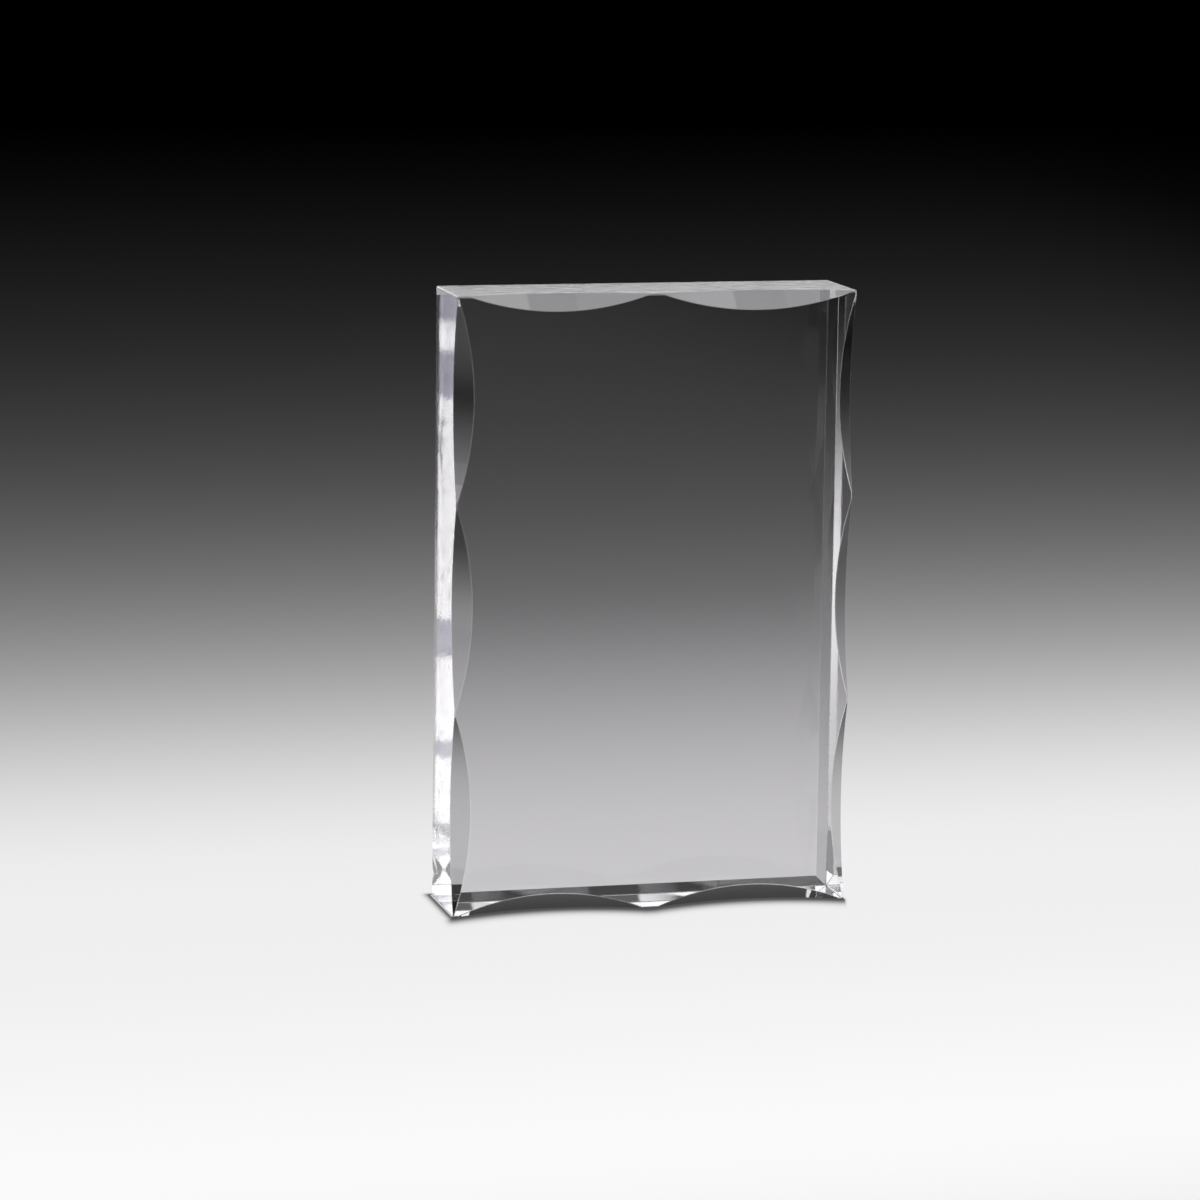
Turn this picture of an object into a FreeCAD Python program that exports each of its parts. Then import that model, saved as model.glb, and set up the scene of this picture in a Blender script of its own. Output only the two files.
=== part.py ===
import FreeCAD, Part
import os
import Sketcher

# Crystal award: one thick upright block of clear polished glass.
# It stands on its flat bottom face. Its front edges carry wheel-cut scallops,
# three on each long side and two along the top and the bottom. Its back edges
# carry a straight flat bevel.
#
# Frame: origin at the middle of the bottom face, +X to the right, +Y to the back,
# +Z up. The front face looks towards -Y. Lengths are in millimetres.

SIZES = [
    ("block_width", 100.0, "left to right"),
    ("block_thickness", 25.4, "front to back"),
    ("block_height", 152.4, "bottom to top"),
    ("back_bevel", 2.3, "width of the flat bevel round the back face"),
    ("arris", 0.3, "small polished flat on the other edges"),
    ("wheel_width", 16.0, "width of the cutting wheel"),
    ("side_pitch", 50.8, "spacing of the scallops on the long sides"),
    ("side_chord", 50.8, "length of one side scallop along its edge"),
    ("left_bite", 4.2, "reach of a left scallop on to the front face"),
    ("right_bite", 3.9, "reach of a right scallop on to the front face"),
    ("bottom_pitch", 50.6, "spacing of the two bottom scallops"),
    ("bottom_chord", 48.0, "length of one bottom scallop"),
    ("bottom_bite", 4.8, "reach of a bottom scallop on to the front face"),
    ("top_left_middle", -24.7, "middle of the left top scallop"),
    ("top_left_chord", 46.2, "length of the left top scallop"),
    ("top_left_bite", 4.05, "reach of the left top scallop"),
    ("top_right_middle", 24.9, "middle of the right top scallop"),
    ("top_right_chord", 49.8, "length of the right top scallop"),
    ("top_right_bite", 4.4, "reach of the right top scallop"),
]


def add_sheet(doc):
    """One spreadsheet row for each driving dimension."""
    sheet = doc.addObject("Spreadsheet::Sheet", "Sizes")
    for row, (alias, value, note) in enumerate(SIZES, start=1):
        sheet.set("A%d" % row, alias)
        sheet.set("B%d" % row, str(value))
        sheet.set("C%d" % row, note)
        sheet.setAlias("B%d" % row, alias)
    doc.recompute()
    return sheet


def front_plane(body):
    """The upright base plane of the body, parallel to the front face."""
    for item in body.Origin.OriginFeatures:
        if item.Role == "XZ_Plane":
            return item
    raise RuntimeError("the body has no XZ plane")


def bind(sketch, constraint, expression):
    """Add a dimension to a sketch and drive it from the spreadsheet."""
    index = sketch.addConstraint(constraint)
    sketch.setExpression("Constraints[%d]" % index, expression)


def finish_feature(doc, body, feature, last=None):
    """Make the feature the body's tip, and check that it cut into the last one."""
    body.Tip = feature
    doc.recompute()
    if feature.Shape.isNull() or not feature.Shape.isValid():
        raise RuntimeError("bad shape: " + feature.Label)
    if last is not None and feature.Shape.Volume > last.Shape.Volume - 0.01:
        raise RuntimeError("nothing was cut: " + feature.Label)


def edges_in_plane(shape, depth):
    """Names of the edges that lie wholly in the front or the back face's plane."""
    names = []
    for number, edge in enumerate(shape.Edges, start=1):
        if all(abs(vertex.Y - depth) < 1e-6 for vertex in edge.Vertexes):
            names.append("Edge%d" % number)
    return names


def add_loop(sketch, corners):
    """Closed loop of straight lines through the corners; returns its line numbers."""
    first = sketch.GeometryCount
    count = len(corners)
    for number, here in enumerate(corners):
        there = corners[(number + 1) % count]
        start = FreeCAD.Vector(here[0], here[1], 0)
        end = FreeCAD.Vector(there[0], there[1], 0)
        sketch.addGeometry(Part.LineSegment(start, end), False)
    lines = [first + number for number in range(count)]
    for number, line in enumerate(lines):
        after = lines[(number + 1) % count]
        sketch.addConstraint(Sketcher.Constraint("Coincident", line, 2, after, 1))
    return lines


def add_blank(doc, body):
    """The sawn blank: a rectangle padded to both sides of the front plane."""
    sketch = body.newObject("Sketcher::SketchObject", "BlankSketch")
    sketch.AttachmentSupport = [(front_plane(body), "")]
    sketch.MapMode = "FlatFace"
    lines = add_loop(sketch, [(-50, 0), (50, 0), (50, 150), (-50, 150)])
    for line in lines[0::2]:
        sketch.addConstraint(Sketcher.Constraint("Horizontal", line))
    for line in lines[1::2]:
        sketch.addConstraint(Sketcher.Constraint("Vertical", line))
    sketch.addConstraint(Sketcher.Constraint("Symmetric", 0, 1, 0, 2, -1, 1))
    bind(sketch, Sketcher.Constraint("DistanceX", 0, 1, 0, 2, 100.0), "Sizes.block_width")
    bind(sketch, Sketcher.Constraint("DistanceY", 1, 1, 1, 2, 150.0), "Sizes.block_height")

    blank = body.newObject("PartDesign::Pad", "Blank")
    blank.Profile = sketch
    blank.SideType = "Symmetric"
    blank.setExpression("Length", "Sizes.block_thickness")
    finish_feature(doc, body, blank)
    return blank


def add_flat_bevel(doc, body, name, base, edges, size):
    """A 45 degree flat along a set of straight edges."""
    bevel = body.newObject("PartDesign::Chamfer", name)
    bevel.Base = (base, edges)
    bevel.setExpression("Size", "Sizes." + size)
    finish_feature(doc, body, bevel, base)
    return bevel


def add_corner_arris(doc, body):
    """The small flats on the four edges that run from the front to the back."""
    last = body.Tip
    sketch = body.newObject("Sketcher::SketchObject", "CornerSketch")
    sketch.AttachmentSupport = [(front_plane(body), "")]
    sketch.MapMode = "FlatFace"
    for side, sign in (("-", -1), ("", 1)):
        for level, inward in (("0 mm", 1), ("Sizes.block_height", -1)):
            x, y = 50 * sign, 75 - 75 * inward
            lines = add_loop(sketch, [(x, y), (x - 5 * sign, y), (x, y + 5 * inward)])
            sketch.addConstraint(Sketcher.Constraint("Horizontal", lines[0]))
            sketch.addConstraint(Sketcher.Constraint("Vertical", lines[2]))
            sketch.addConstraint(Sketcher.Constraint("Equal", lines[0], lines[2]))
            corner = Sketcher.Constraint("DistanceX", -1, 1, lines[0], 1, float(x))
            bind(sketch, corner, side + "Sizes.block_width / 2")
            corner = Sketcher.Constraint("DistanceY", -1, 1, lines[0], 1, float(y))
            bind(sketch, corner, level)
            bind(sketch, Sketcher.Constraint("Distance", lines[0], 5.0), "Sizes.arris")

    arris = body.newObject("PartDesign::Pocket", "CornerArris")
    arris.Profile = sketch
    arris.SideType = "Symmetric"
    arris.setExpression("Length", "2 * Sizes.block_thickness")
    finish_feature(doc, body, arris, last)
    return arris


def add_scallop(doc, body, name, turn, edge, middle, chord, bite):
    """One pass of a round wheel held at 45 degrees to a front edge.

    The sketch lies across the bevel: its x axis runs along the edge and its y axis
    points straight out of the bevel. turn is the direction of the edge about the
    front plane's normal, edge the two expressions that place the edge's middle, and
    middle the place of the scallop along the edge.
    """
    last = body.Tip
    depth = "(%s / sqrt(2))" % bite
    radius = "((%s)^2 / 8 + %s^2 / 2) / %s" % (chord, depth, depth)

    sketch = body.newObject("Sketcher::SketchObject", name + "Sketch")
    sketch.AttachmentSupport = [(front_plane(body), "")]
    sketch.MapMode = "FlatFace"
    along = FreeCAD.Rotation(FreeCAD.Vector(0, 0, 1), turn)
    tilt = FreeCAD.Rotation(FreeCAD.Vector(1, 0, 0), 45)
    sketch.AttachmentOffset = FreeCAD.Placement(FreeCAD.Vector(0, 0, 0), along.multiply(tilt))
    sketch.setExpression("AttachmentOffset.Base.x", edge[0])
    sketch.setExpression("AttachmentOffset.Base.y", edge[1])
    sketch.setExpression("AttachmentOffset.Base.z", "Sizes.block_thickness / 2")

    circle = Part.Circle(FreeCAD.Vector(1, 97, 0), FreeCAD.Vector(0, 0, 1), 100)
    sketch.addGeometry(circle, False)
    bind(sketch, Sketcher.Constraint("Radius", 0, 100.0), radius)
    bind(sketch, Sketcher.Constraint("DistanceX", -1, 1, 0, 3, 1.0), middle)
    bind(sketch, Sketcher.Constraint("DistanceY", -1, 1, 0, 3, 97.0), radius + " - " + depth)

    scallop = body.newObject("PartDesign::Pocket", name)
    scallop.Profile = sketch
    scallop.SideType = "Symmetric"
    scallop.setExpression("Length", "Sizes.wheel_width")
    finish_feature(doc, body, scallop, last)
    return scallop


def add_row(doc, body, name, scallop, count, pitch):
    """Repeat a scallop along its own edge."""
    row = body.newObject("PartDesign::LinearPattern", name)
    row.Originals = [scallop]
    row.Direction = (scallop.Profile[0], ["H_Axis"])
    row.Mode = "Spacing"
    row.Occurrences = count
    row.setExpression("Offset", pitch)
    finish_feature(doc, body, row, scallop)
    return row


def build_block(doc):
    """The whole award: blank, back bevel, arrises, then ten scallops."""
    body = doc.addObject("PartDesign::Body", "CrystalBlock")
    body.Label = "crystal_block"
    blank = add_blank(doc, body)

    box = blank.Shape.BoundBox
    edges = edges_in_plane(blank.Shape, box.YMax)
    add_flat_bevel(doc, body, "BackBevel", blank, edges, "back_bevel")
    corners = add_corner_arris(doc, body)
    edges = edges_in_plane(corners.Shape, box.YMin)
    add_flat_bevel(doc, body, "FrontArris", corners, edges, "arris")

    half_width = "Sizes.block_width / 2"
    half_height = "Sizes.block_height / 2"
    left = ("-" + half_width, half_height)
    right = (half_width, half_height)
    top = ("0 mm", "Sizes.block_height")
    bottom = ("0 mm", "0 mm")

    sides = [("Left", 90, left, "Sizes.left_bite"), ("Right", -90, right, "Sizes.right_bite")]
    for name, turn, edge, bite in sides:
        first = add_scallop(doc, body, name + "Scallop", turn, edge, "-Sizes.side_pitch",
                            "Sizes.side_chord", bite)
        add_row(doc, body, name + "Row", first, 3, "Sizes.side_pitch")

    first = add_scallop(doc, body, "BottomScallop", 180, bottom, "-Sizes.bottom_pitch / 2",
                        "Sizes.bottom_chord", "Sizes.bottom_bite")
    add_row(doc, body, "BottomRow", first, 2, "Sizes.bottom_pitch")

    for name in ("left", "right"):
        prefix = "Sizes.top_" + name
        add_scallop(doc, body, "Top" + name.capitalize() + "Scallop", 0, top,
                    prefix + "_middle", prefix + "_chord", prefix + "_bite")

    body.Placement = FreeCAD.Placement()
    doc.recompute()
    return body


def check_document(doc):
    """Stop if any object of the document failed to compute."""
    for item in doc.Objects:
        for state in item.State:
            if state in ("Invalid", "Error"):
                raise RuntimeError(item.Label + " is " + state)


def main():
    doc = FreeCAD.newDocument("CrystalAward")
    add_sheet(doc)
    pieces = [build_block(doc)]
    check_document(doc)
    os.makedirs("parts", exist_ok=True)
    for piece in pieces:
        shape = piece.Shape
        if shape.isNull() or not shape.isValid() or len(shape.Solids) != 1:
            raise RuntimeError("bad piece: " + piece.Label)
        shape.exportStep(os.path.join("parts", piece.Label + ".step"))
        box = shape.optimalBoundingBox()
        print(piece.Label, round(shape.Volume, 1), "mm3", len(shape.Faces), "faces")
        print("x", round(box.XMin, 3), round(box.XMax, 3), "y", round(box.YMin, 3),
              round(box.YMax, 3), "z", round(box.ZMin, 3), round(box.ZMax, 3))


main()
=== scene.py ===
import math

import bmesh
import bpy
from mathutils import Matrix, Vector


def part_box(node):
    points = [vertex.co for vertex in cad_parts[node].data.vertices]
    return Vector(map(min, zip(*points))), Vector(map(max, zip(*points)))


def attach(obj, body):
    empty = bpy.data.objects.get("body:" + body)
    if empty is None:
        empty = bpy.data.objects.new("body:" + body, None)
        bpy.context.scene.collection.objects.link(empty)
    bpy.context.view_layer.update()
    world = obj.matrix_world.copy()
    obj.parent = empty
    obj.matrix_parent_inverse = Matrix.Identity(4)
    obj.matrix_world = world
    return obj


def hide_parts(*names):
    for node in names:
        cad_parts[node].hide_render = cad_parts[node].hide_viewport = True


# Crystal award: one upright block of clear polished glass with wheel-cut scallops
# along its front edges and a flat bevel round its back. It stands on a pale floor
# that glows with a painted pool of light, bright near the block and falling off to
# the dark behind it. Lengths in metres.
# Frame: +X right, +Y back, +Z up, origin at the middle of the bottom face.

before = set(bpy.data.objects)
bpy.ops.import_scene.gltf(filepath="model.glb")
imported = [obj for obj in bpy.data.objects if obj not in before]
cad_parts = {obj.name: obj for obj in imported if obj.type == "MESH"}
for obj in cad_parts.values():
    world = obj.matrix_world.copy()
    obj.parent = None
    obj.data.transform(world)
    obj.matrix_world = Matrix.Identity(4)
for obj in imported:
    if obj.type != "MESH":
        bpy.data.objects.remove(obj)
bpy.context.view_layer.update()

BLOCK_LOW, BLOCK_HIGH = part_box("crystal_block")
HALF_WIDTH = (BLOCK_HIGH.x - BLOCK_LOW.x) / 2
HALF_DEPTH = (BLOCK_HIGH.y - BLOCK_LOW.y) / 2
HEIGHT = BLOCK_HIGH.z - BLOCK_LOW.z

# The cut of the block, as the CAD model has it. A bite is measured along each of the
# two faces that meet at the edge; the wheel goes in on the diagonal between them.
BACK_BEVEL = 0.0023
ARRIS = 0.0003
WHEEL_WIDTH = 0.016
SIDE_PITCH = 0.0508
SIDE_CHORD = 0.0508
LEFT_BITE = 0.0042
RIGHT_BITE = 0.0039
BOTTOM_MIDDLE = 0.0253
BOTTOM_CHORD = 0.048
BOTTOM_BITE = 0.0048
TOP_SCALLOPS = ((-0.0247, 0.0462, 0.00405), (0.0249, 0.0498, 0.0044))
ROOT_HALF = math.sqrt(0.5)
ARC_STEPS = 160
CUTTER_OVERSHOOT = 0.0012
PLANE_SLACK = 1e-8

# Light rounding of every edge, and the angle from which an edge counts as sharp.
EDGE_ROUND = 0.00013
EDGE_SEGMENTS = 2
ROUND_FROM = math.radians(8.0)
SHARP_FROM = math.radians(2.0)

# The looks of the glass: name, tint, share of light let through, stretch of the
# scratches, added roughness of the wheel marks and depth of the polishing ripple.
GLASS_IOR = 1.52
FLAT_TINT = (0.660, 0.646, 0.666, 1.0)
# Painted shade: the cut faces get a darker copy of the glass tint so the scallops read
# darker.
CUT_SHADED_TINT = (0.410, 0.404, 0.418, 1.0)
EDGE_TINT = (0.900, 0.895, 0.905, 1.0)
SURFACES = (
    ("crystal_front", FLAT_TINT, 1.0, 12.0, 0.0, 0.0),
    ("crystal_cut_shaded", CUT_SHADED_TINT, 1.0, 20.0, 0.01, 0.000002),
    ("crystal_edge", EDGE_TINT, 0.88, 20.0, 0.25, 0.0),
    ("crystal_side", FLAT_TINT, 1.0, 12.0, 0.0, 0.00003),
    ("crystal_top", FLAT_TINT, 1.0, 12.0, 0.0, 0.00012),
)
FRONT, CUT, EDGE, SIDE, TOP = range(len(SURFACES))
FACING = 0.5
HAZE_SCALE = 38.0
HAZE_START = 0.5
HAZE_ROUGHNESS = 0.10
SCRATCH_TURN = (0.5, 0.3, 0.7)
SCRATCH_SCALE = 60.0
SCRATCH_START = 0.66
SCRATCH_ROUGHNESS = 0.5
SCRATCH_BUMP = 0.04
SCRATCH_DEPTH = 0.0001
RIPPLE_SCALE = 300.0

# A tall light window beside the front right corner: bright panes and a few grey cross
# rails, each given by its middle height and its thickness.
WINDOW_LEFT = 0.051
WINDOW_RIGHT = 0.100
WINDOW_DEPTH = -0.014
WINDOW_HEIGHT = 0.152
PANE_LIGHT = 2.4
RAIL_LIGHT = 0.9
RAIL_BLUE = 1.15
RAILS = ((0.020, 0.005), (0.050, 0.010), (0.120, 0.012), (0.138, 0.008))
FLECK_SCALE = 420.0
FLECK_START = 0.58
FLECK_CONTRAST = 12.0
FLECK_DEPTH = 0.65

# Plain cards further off: name, two opposite corners and radiance.
FAR_CARDS = (
    ("card_left_low", (-1.00, -0.40, 0.20), (-1.00, -0.15, 0.27), 0.4),
    ("card_left_high", (-1.00, -0.40, 0.27), (-1.00, -0.15, 0.42), 1.8),
    ("card_left_behind", (-0.50, 1.15, 0.21), (0.0, 1.15, 0.50), 2.0),
    ("card_top_sheen", (0.0, 2.30, 0.33), (1.40, 2.30, 0.46), 0.6),
    ("card_bottom_gleam", (0.30, 2.30, 0.50), (1.00, 2.30, 0.65), 1.6),
)

# The floor: its height, the radiance of the light pool painted into its glow and how far the
# pool reaches.
FLOOR_HALF = 4.0
FLOOR_DROP = 0.0002
POOL_PEAK = 0.868
POOL_BACK_REACH = 0.272
POOL_BACK_POWER = 2.4
POOL_BLACK = 0.004
POOL_FRONT_RISE = 3.0
POOL_FRONT_REACH = 0.35
POOL_PLATEAU = 0.34
POOL_PLATEAU_RATE = 2.0
POOL_LEFT_START = 0.2
POOL_LEFT_RATE = 5.0
POOL_LEFT_LIFT = 0.55
POOL_LEFT_REACH = 0.66
POOL_RIGHT_SPREAD = 0.25
POOL_RIGHT_REACH = 0.42
POOL_EDGE_POWER = 6.0

# The contact shadow painted into the floor's glow: how it leans, how far it blurs out on
# each side and how dark it is.
SHADOW_LEAN = 0.266
SHADOW_FRONT = 0.0048
SHADOW_BACK = 0.0015
SHADOW_SIDE = 0.00095
SHADOW_SIDE_CHANGE = 0.00045
SHADOW_UNDERCUT = -0.002
SHADOW_UNDER = 0.30
SHADOW_OUTSIDE = 0.60
EULER = 2.718

# The dome: radiance by height of the view direction, and two dark gaps high up on the
# right, each with its azimuth, elevation and angular radius in degrees.
DOME_STRENGTH = 1.7
DOME_FOOT = (0.02, 0.0)
DOME_STEPS = (
    (0.10, 0.012), (0.28, 0.06), (0.32, 0.055), (0.345, 0.015), (0.80, 0.05),
    (0.83, 0.60), (0.87, 0.95), (0.95, 0.95), (0.97, 0.30),
)
DOME_CROWN = (1.0, 0.2)
DOME_GAPS = ((34.0, 66.5, 4.2), (112.0, 73.0, 5.8))
GAP_SOFTNESS = 0.6
GAP_DEPTH = 0.9

CAMERA_AZIMUTH = math.radians(14.91)
CAMERA_PITCH = math.radians(9.892)
CAMERA_ROLL = math.radians(0.766)
CAMERA_AIM = Vector((-0.01392, -HALF_DEPTH, 0.07763))
CAMERA_DISTANCE = 1.161
CAMERA_SENSOR = 36.0
CAMERA_LENS = 143.15
CAMERA_NEAR = 0.05
CAMERA_FAR = 30.0
LIGHT_BOUNCES = 48


# ---------------------------------------------------------------- geometry

def carve(bm, point, normal):
    """Cut away what lies beyond a plane and close the cut with one flat face."""
    geometry = bm.verts[:] + bm.edges[:] + bm.faces[:]
    cut = bmesh.ops.bisect_plane(bm, geom=geometry, plane_co=point, plane_no=normal,
                                 dist=PLANE_SLACK, clear_outer=True)
    rim = [item for item in cut["geom_cut"] if isinstance(item, bmesh.types.BMEdge)]
    for face in bmesh.ops.holes_fill(bm, edges=rim, sides=0)["faces"]:
        face.material_index = CUT


def mesh_from(bm, name):
    """A mesh made from the working shape, which is then freed."""
    mesh = bpy.data.meshes.new(name)
    bm.to_mesh(mesh)
    bm.free()
    return mesh


def add_object(name, mesh):
    """A new object in the scene."""
    made = bpy.data.objects.new(name, mesh)
    bpy.context.scene.collection.objects.link(made)
    return made


def blank_mesh():
    """The blank with its back bevel and its small arrises, as a closed mesh."""
    bm = bmesh.new()
    bmesh.ops.create_cube(bm, size=2.0)
    middle = HEIGHT / 2
    for vertex in bm.verts:
        vertex.co = Vector((vertex.co.x * HALF_WIDTH, vertex.co.y * HALF_DEPTH,
                            (vertex.co.z + 1) * middle))
    for side in (-1, 1):
        point = Vector((side * HALF_WIDTH, HALF_DEPTH - BACK_BEVEL, middle))
        carve(bm, point, Vector((side, 1, 0)).normalized())
        point = Vector((0, HALF_DEPTH - BACK_BEVEL, middle + side * middle))
        carve(bm, point, Vector((0, 1, side)).normalized())
        point = Vector((side * HALF_WIDTH, -HALF_DEPTH + ARRIS, middle))
        carve(bm, point, Vector((side, -1, 0)).normalized())
        point = Vector((0, -HALF_DEPTH + ARRIS, middle + side * middle))
        carve(bm, point, Vector((0, -1, side)).normalized())
        for end in (-1, 1):
            point = Vector((side * (HALF_WIDTH - ARRIS), 0, middle + end * middle))
            carve(bm, point, Vector((side, 0, end)).normalized())
    return mesh_from(bm, "blank")


def wheel_cutter(edge_point, along, outward, chord, bite):
    """The body that the round wheel sweeps away: an arc across the edge, extruded."""
    depth = bite * ROOT_HALF
    radius = (chord ** 2 / 8 + depth ** 2 / 2) / depth
    centre = edge_point + outward * (radius - depth)
    reach = math.acos((radius - depth - CUTTER_OVERSHOOT) / radius)
    axle = along.cross(outward)
    bm = bmesh.new()
    rings = []
    for end in (-0.5, 0.5):
        ring = []
        for step in range(ARC_STEPS + 1):
            angle = reach * (2 * step / ARC_STEPS - 1)
            spoke = along * math.sin(angle) - outward * math.cos(angle)
            ring.append(bm.verts.new(centre + spoke * radius + axle * end * WHEEL_WIDTH))
        rings.append(ring)
    bm.faces.new(rings[0])
    bm.faces.new(list(reversed(rings[1])))
    count = len(rings[0])
    for step in range(count):
        after = (step + 1) % count
        bm.faces.new((rings[0][after], rings[0][step], rings[1][step], rings[1][after]))
    bmesh.ops.recalc_face_normals(bm, faces=bm.faces[:])
    for face in bm.faces:
        face.material_index = CUT
    return add_object("cutter", mesh_from(bm, "cutter"))


def scallop_cutters():
    """Ten passes of the wheel at 45 degrees across the front edges."""
    cutters = []
    up = Vector((0, 0, 1))
    across = Vector((1, 0, 0))
    for side, bite in ((-1, LEFT_BITE), (1, RIGHT_BITE)):
        outward = Vector((side, -1, 0)).normalized()
        for row in (-1, 0, 1):
            edge = Vector((side * HALF_WIDTH, -HALF_DEPTH, HEIGHT / 2 + row * SIDE_PITCH))
            cutters.append(wheel_cutter(edge, up, outward, SIDE_CHORD, bite))
    outward = Vector((0, -1, -1)).normalized()
    for side in (-1, 1):
        edge = Vector((side * BOTTOM_MIDDLE, -HALF_DEPTH, 0))
        cutters.append(wheel_cutter(edge, across, outward, BOTTOM_CHORD, BOTTOM_BITE))
    outward = Vector((0, -1, 1)).normalized()
    for middle, chord, bite in TOP_SCALLOPS:
        edge = Vector((middle, -HALF_DEPTH, HEIGHT))
        cutters.append(wheel_cutter(edge, across, outward, chord, bite))
    return cutters


def apply_modifiers(thing):
    """Turn the modifiers of an object into plain mesh."""
    evaluated = thing.evaluated_get(bpy.context.evaluated_depsgraph_get())
    mesh = bpy.data.meshes.new_from_object(evaluated)
    thing.modifiers.clear()
    thing.data = mesh


def build_crystal(materials):
    """The cut block as one closed mesh, smooth in the scallops and sharp elsewhere."""
    crystal = add_object("scalloped_crystal", blank_mesh())
    for material in materials:
        crystal.data.materials.append(material)
    for cutter in scallop_cutters():
        for material in materials:
            cutter.data.materials.append(material)
        cut = crystal.modifiers.new("wheel", "BOOLEAN")
        cut.operation = "DIFFERENCE"
        cut.solver = "EXACT"
        cut.object = cutter
        apply_modifiers(crystal)
        bpy.data.objects.remove(cutter)
    soften = crystal.modifiers.new("worn_edges", "BEVEL")
    soften.width = EDGE_ROUND
    soften.segments = EDGE_SEGMENTS
    soften.limit_method = "ANGLE"
    soften.angle_limit = ROUND_FROM
    soften.use_clamp_overlap = False
    soften.material = EDGE
    apply_modifiers(crystal)
    crystal.data.name = "scalloped_crystal"
    for face in crystal.data.polygons:
        face.use_smooth = True
        if face.material_index == FRONT and abs(face.normal.x) > FACING:
            face.material_index = SIDE
        if face.material_index == FRONT and face.normal.z > FACING:
            face.material_index = TOP
    crystal.data.set_sharp_from_angle(angle=SHARP_FROM)
    return crystal


# ---------------------------------------------------------------- materials

def node(tree, kind, **inputs):
    """A new node with some of its inputs set by name."""
    made = tree.nodes.new(kind)
    for name, value in inputs.items():
        made.inputs[name].default_value = value
    return made


def maths(tree, operation, first, second=None, clamp=False):
    """A Math node; its inputs are sockets or numbers."""
    made = tree.nodes.new("ShaderNodeMath")
    made.operation = operation
    made.use_clamp = clamp
    for socket, value in zip(made.inputs, (first, second)):
        if isinstance(value, bpy.types.NodeSocket):
            tree.links.new(value, socket)
        elif value is not None:
            socket.default_value = value
    return made.outputs[0]


def object_place(tree):
    """The position on the object, as a socket."""
    return tree.nodes.new("ShaderNodeTexCoord").outputs["Object"]


def split_place(tree, place):
    """The parts of a position, as the outputs of one node."""
    split = tree.nodes.new("ShaderNodeSeparateXYZ")
    tree.links.new(place, split.inputs[0])
    return split.outputs


def glass_material(name, tint, clearness, scratch_stretch, wheel_marks, ripple):
    """Clear crystal: polish haze, fine scratches and the ripple of hand polishing."""
    material = bpy.data.materials.new(name)
    material.use_nodes = True
    tree = material.node_tree
    shader = tree.nodes["Principled BSDF"]
    shader.inputs["Base Color"].default_value = tint
    shader.inputs["Transmission Weight"].default_value = clearness
    shader.inputs["IOR"].default_value = GLASS_IOR

    place = object_place(tree)
    haze = node(tree, "ShaderNodeTexNoise", Scale=HAZE_SCALE, Detail=6.0, Roughness=0.6)
    tree.links.new(place, haze.inputs["Vector"])

    stretch = node(tree, "ShaderNodeMapping", Rotation=SCRATCH_TURN,
                   Scale=(1.0, scratch_stretch, 1.0))
    tree.links.new(place, stretch.inputs["Vector"])
    lines = node(tree, "ShaderNodeTexNoise", Scale=SCRATCH_SCALE, Detail=3.0, Roughness=0.5)
    tree.links.new(stretch.outputs["Vector"], lines.inputs["Vector"])
    scratch = maths(tree, "SUBTRACT", lines.outputs["Fac"], SCRATCH_START, clamp=True)

    smudge = maths(tree, "SUBTRACT", haze.outputs["Fac"], HAZE_START, clamp=True)
    rough = maths(tree, "MULTIPLY", smudge, HAZE_ROUGHNESS)
    rough = maths(tree, "ADD", rough, maths(tree, "MULTIPLY", scratch, SCRATCH_ROUGHNESS))
    rough = maths(tree, "ADD", rough, wheel_marks)
    tree.links.new(rough, shader.inputs["Roughness"])

    bump = node(tree, "ShaderNodeBump", Strength=SCRATCH_BUMP, Distance=SCRATCH_DEPTH)
    tree.links.new(scratch, bump.inputs["Height"])
    peel = node(tree, "ShaderNodeTexNoise", Scale=RIPPLE_SCALE, Detail=5.0, Roughness=0.62)
    tree.links.new(place, peel.inputs["Vector"])
    waves = node(tree, "ShaderNodeBump", Strength=1.0, Distance=ripple)
    tree.links.new(peel.outputs["Fac"], waves.inputs["Height"])
    tree.links.new(bump.outputs["Normal"], waves.inputs["Normal"])
    tree.links.new(waves.outputs["Normal"], shader.inputs["Normal"])
    return material


def glowing_material(name):
    """An empty material that only gives off light, with its node tree and its light."""
    material = bpy.data.materials.new(name)
    material.use_nodes = True
    tree = material.node_tree
    tree.nodes.clear()
    light = tree.nodes.new("ShaderNodeEmission")
    out = tree.nodes.new("ShaderNodeOutputMaterial")
    tree.links.new(light.outputs[0], out.inputs["Surface"])
    return material, tree, light


def plain_light_material(name, radiance):
    """Plain white light of one radiance."""
    material, _, light = glowing_material(name)
    light.inputs["Strength"].default_value = radiance
    return material


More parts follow.
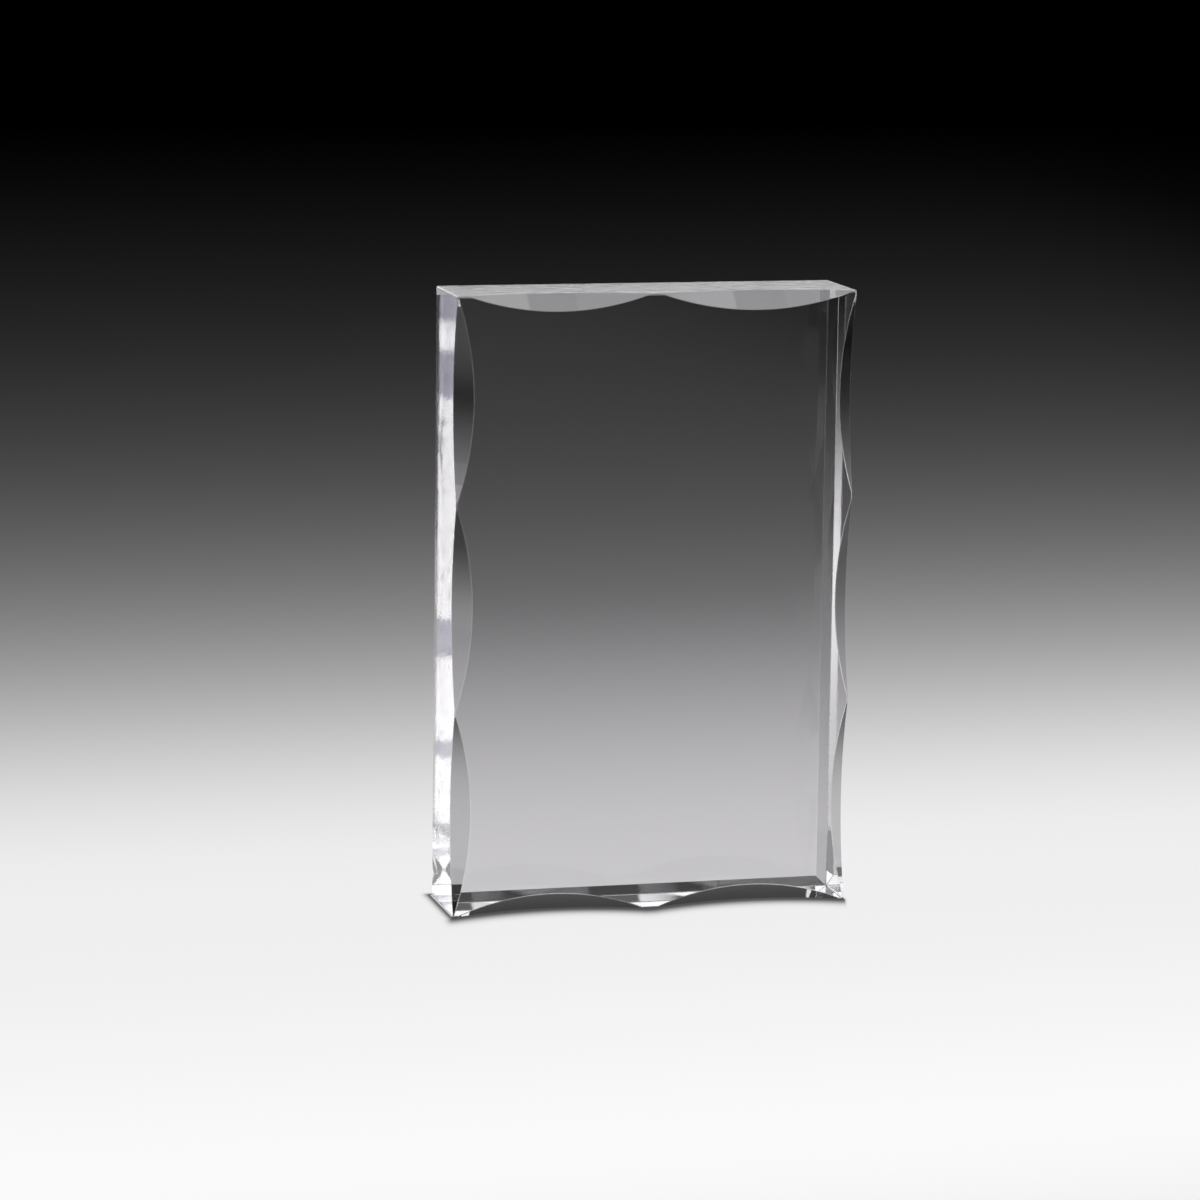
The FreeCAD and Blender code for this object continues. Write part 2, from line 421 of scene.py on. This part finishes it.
def window_material(name):
    """Mottled light panes with grey cross rails between them."""
    material, tree, light = glowing_material(name)
    place = object_place(tree)
    ramp = tree.nodes.new("ShaderNodeValToRGB")
    ramp.color_ramp.interpolation = "CONSTANT"
    stops = ramp.color_ramp.elements
    stops.remove(stops[1])
    stops[0].color = (1, 1, 1, 1)
    rail = RAIL_LIGHT / PANE_LIGHT
    for middle, thickness in RAILS:
        foot = stops.new((middle - thickness / 2) / WINDOW_HEIGHT)
        foot.color = (rail, rail, rail * RAIL_BLUE, 1)
        head = stops.new((middle + thickness / 2) / WINDOW_HEIGHT)
        head.color = (1, 1, 1, 1)
    up = maths(tree, "DIVIDE", split_place(tree, place)["Z"], WINDOW_HEIGHT)
    tree.links.new(up, ramp.inputs["Fac"])
    mottle = node(tree, "ShaderNodeTexNoise", Scale=FLECK_SCALE, Detail=3.0, Roughness=0.6)
    tree.links.new(place, mottle.inputs["Vector"])
    fleck = maths(tree, "SUBTRACT", mottle.outputs["Fac"], FLECK_START)
    fleck = maths(tree, "MULTIPLY", fleck, FLECK_CONTRAST, clamp=True)
    gain = maths(tree, "SUBTRACT", 1.0, maths(tree, "MULTIPLY", fleck, FLECK_DEPTH))
    tree.links.new(ramp.outputs["Color"], light.inputs["Color"])
    tree.links.new(maths(tree, "MULTIPLY", gain, PANE_LIGHT), light.inputs["Strength"])
    return material


def negative(tree, value):
    """A value with its sign turned round."""
    return maths(tree, "MULTIPLY", value, -1.0)


def positive_part(tree, value):
    """A value, or nought where it is below nought."""
    return maths(tree, "MAXIMUM", value, 0.0)


def weakening(tree, distance, reach):
    """How many times weaker the light pool has become at a distance."""
    steep = maths(tree, "POWER", maths(tree, "DIVIDE", distance, reach), POOL_EDGE_POWER)
    return maths(tree, "ADD", steep, 1.0)


def light_pool(tree, x, y):
    """The painted light pool: the glow of the floor without the block."""
    behind = positive_part(tree, y)
    fall = maths(tree, "POWER", maths(tree, "DIVIDE", behind, POOL_BACK_REACH),
                 POOL_BACK_POWER)
    back = maths(tree, "DIVIDE", POOL_PEAK, maths(tree, "ADD", fall, 1.0))
    back = maths(tree, "SUBTRACT", back, POOL_BLACK, clamp=True)

    ahead = positive_part(tree, negative(tree, y))
    rise = maths(tree, "MULTIPLY", maths(tree, "POWER", ahead, 2.0), POOL_FRONT_RISE)
    level = maths(tree, "DIVIDE", maths(tree, "ADD", back, rise),
                  weakening(tree, ahead, POOL_FRONT_REACH))
    plateau = maths(tree, "MULTIPLY", ahead, POOL_PLATEAU_RATE, clamp=True)
    level = maths(tree, "MAXIMUM", level, maths(tree, "MULTIPLY", plateau, POOL_PLATEAU))

    # The pool reaches further to the left than to the right.
    left = positive_part(tree, negative(tree, x))
    lift = maths(tree, "SUBTRACT", left, POOL_LEFT_START)
    lift = maths(tree, "MULTIPLY", lift, POOL_LEFT_RATE, clamp=True)
    lift = maths(tree, "ADD", maths(tree, "MULTIPLY", lift, POOL_LEFT_LIFT), 1.0)
    lift = maths(tree, "DIVIDE", lift, weakening(tree, left, POOL_LEFT_REACH))
    level = maths(tree, "MULTIPLY", level, lift)
    right = maths(tree, "SUBTRACT", x, maths(tree, "MULTIPLY", behind, POOL_RIGHT_SPREAD))
    right = positive_part(tree, right)
    return maths(tree, "DIVIDE", level, weakening(tree, right, POOL_RIGHT_REACH))


def contact_shadow(tree, x, y):
    """The light left in the painted contact shadow: it follows the bottom scallops and leans
    forward.
    """
    front = maths(tree, "SUBTRACT", negative(tree, y), HALF_DEPTH)
    ahead = positive_part(tree, front)
    leaning = maths(tree, "ADD", x, maths(tree, "MULTIPLY", ahead, SHADOW_LEAN))
    aside = maths(tree, "ABSOLUTE", leaning)
    notch = maths(tree, "SUBTRACT", aside, BOTTOM_MIDDLE)
    notch = maths(tree, "DIVIDE", notch, BOTTOM_CHORD / 2)
    notch = maths(tree, "SUBTRACT", 1.0, maths(tree, "MULTIPLY", notch, notch), clamp=True)
    front = maths(tree, "ADD", front, maths(tree, "MULTIPLY", notch, BOTTOM_BITE))

    out_front = maths(tree, "DIVIDE", positive_part(tree, front), SHADOW_FRONT)
    blur = maths(tree, "MULTIPLY", maths(tree, "SIGN", x), SHADOW_SIDE_CHANGE)
    blur = maths(tree, "SUBTRACT", SHADOW_SIDE, blur)
    out_side = positive_part(tree, maths(tree, "SUBTRACT", aside, HALF_WIDTH))
    out_side = maths(tree, "DIVIDE", out_side, blur)
    out_back = positive_part(tree, maths(tree, "SUBTRACT", y, HALF_DEPTH))
    out_back = maths(tree, "DIVIDE", out_back, SHADOW_BACK)
    gap = 0.0
    for distance in (out_side, out_back, out_front):
        gap = maths(tree, "ADD", gap, maths(tree, "POWER", distance, 2.0))
    shade = maths(tree, "POWER", EULER, negative(tree, gap))

    outside = maths(tree, "GREATER_THAN", gap, 0.0)
    rim = maths(tree, "GREATER_THAN", front, SHADOW_UNDERCUT)
    outside = maths(tree, "MAXIMUM", outside, rim)
    depth = maths(tree, "MULTIPLY", outside, SHADOW_OUTSIDE)
    depth = maths(tree, "ADD", depth, SHADOW_UNDER)
    return maths(tree, "SUBTRACT", 1.0, maths(tree, "MULTIPLY", shade, depth))


def floor_material():
    """A pale sweep that glows with painted light: bright round the block, darker with depth,
    a painted soft contact shadow.
    """
    material, tree, light = glowing_material("floor")
    place = split_place(tree, object_place(tree))
    level = light_pool(tree, place["X"], place["Y"])
    shade = contact_shadow(tree, place["X"], place["Y"])
    tree.links.new(maths(tree, "MULTIPLY", level, shade), light.inputs["Strength"])
    return material


# ---------------------------------------------------------------- studio

def add_floor():
    """The floor, just under the block's bottom face."""
    bm = bmesh.new()
    bmesh.ops.create_grid(bm, x_segments=1, y_segments=1, size=FLOOR_HALF)
    floor = add_object("floor", mesh_from(bm, "floor"))
    floor.location.z = -FLOOR_DROP
    floor.data.materials.append(floor_material())


def add_card(name, low, high, material):
    """An upright light card between two opposite corners. It lights the glass only."""
    bm = bmesh.new()
    corners = (low, (high[0], high[1], low[2]), high, (low[0], low[1], high[2]))
    bm.faces.new([bm.verts.new(corner) for corner in corners])
    card = add_object(name, mesh_from(bm, name))
    card.data.materials.append(material)
    card.visible_camera = False


def add_cards():
    """The window beside the front right corner and the plain cards further off."""
    add_card("card_window", (WINDOW_LEFT, WINDOW_DEPTH, 0.0),
             (WINDOW_RIGHT, WINDOW_DEPTH, WINDOW_HEIGHT), window_material("card_window"))
    for name, low, high, radiance in FAR_CARDS:
        add_card(name, low, high, plain_light_material(name, radiance))


def gap_strength(tree, direction, azimuth, elevation, radius):
    """How much of the dome's light is left round one dark gap."""
    flat = math.cos(math.radians(elevation))
    centre = (math.sin(math.radians(azimuth)) * flat, math.cos(math.radians(azimuth)) * flat,
              math.sin(math.radians(elevation)))
    dot = tree.nodes.new("ShaderNodeVectorMath")
    dot.operation = "DOT_PRODUCT"
    dot.inputs[1].default_value = centre
    tree.links.new(direction, dot.inputs[0])
    rim = math.cos(math.radians(radius))
    ease = math.cos(math.radians(radius - GAP_SOFTNESS)) - rim
    inside = maths(tree, "SUBTRACT", dot.outputs["Value"], rim)
    inside = maths(tree, "DIVIDE", inside, ease, clamp=True)
    return maths(tree, "SUBTRACT", 1.0, maths(tree, "MULTIPLY", inside, GAP_DEPTH))


def add_world():
    """Dark round the horizon and a broad bright dome overhead."""
    world = bpy.data.worlds.new("studio")
    bpy.context.scene.world = world
    world.use_nodes = True
    tree = world.node_tree
    direction = tree.nodes.new("ShaderNodeTexCoord").outputs["Generated"]
    ramp = tree.nodes.new("ShaderNodeValToRGB")
    stops = ramp.color_ramp.elements
    steps = [(stops[0], DOME_FOOT), (stops[1], DOME_CROWN)]
    for stop, (position, value) in steps:
        stop.position = position
        stop.color = (value, value, value, 1)
    for position, value in DOME_STEPS:
        stops.new(position).color = (value, value, value, 1)
    tree.links.new(split_place(tree, direction)["Z"], ramp.inputs["Fac"])

    strength = DOME_STRENGTH
    for azimuth, elevation, radius in DOME_GAPS:
        left_over = gap_strength(tree, direction, azimuth, elevation, radius)
        strength = maths(tree, "MULTIPLY", strength, left_over)
    background = tree.nodes["Background"]
    tree.links.new(ramp.outputs["Color"], background.inputs["Color"])
    tree.links.new(strength, background.inputs["Strength"])


def add_camera():
    """The photograph's view: from the front, a little from the left and above."""
    flat = math.cos(CAMERA_PITCH)
    look = Vector((math.sin(CAMERA_AZIMUTH) * flat, math.cos(CAMERA_AZIMUTH) * flat,
                   -math.sin(CAMERA_PITCH)))
    level = Vector((math.cos(CAMERA_AZIMUTH), -math.sin(CAMERA_AZIMUTH), 0))
    upright = level.cross(look)
    right = level * math.cos(CAMERA_ROLL) + upright * math.sin(CAMERA_ROLL)
    up = upright * math.cos(CAMERA_ROLL) - level * math.sin(CAMERA_ROLL)
    camera = add_object("camera", bpy.data.cameras.new("camera"))
    camera.matrix_world = Matrix((
        (right.x, up.x, -look.x, 0),
        (right.y, up.y, -look.y, 0),
        (right.z, up.z, -look.z, 0),
        (0, 0, 0, 1),
    ))
    camera.location = CAMERA_AIM - look * CAMERA_DISTANCE
    camera.data.sensor_width = CAMERA_SENSOR
    camera.data.lens = CAMERA_LENS
    camera.data.clip_start = CAMERA_NEAR
    camera.data.clip_end = CAMERA_FAR
    bpy.context.scene.camera = camera


def set_light_paths():
    """Enough bounces for the long paths inside the block, and plain tones."""
    scene = bpy.context.scene
    scene.cycles.max_bounces = LIGHT_BOUNCES
    scene.cycles.transmission_bounces = LIGHT_BOUNCES
    scene.cycles.glossy_bounces = LIGHT_BOUNCES
    scene.cycles.blur_glossy = 0.0
    scene.cycles.use_denoising = True
    scene.view_settings.view_transform = "Standard"


crystal = build_crystal([glass_material(*surface) for surface in SURFACES])
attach(crystal, "root")
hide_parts("crystal_block")

add_floor()
add_cards()
add_world()
add_camera()
set_light_paths()
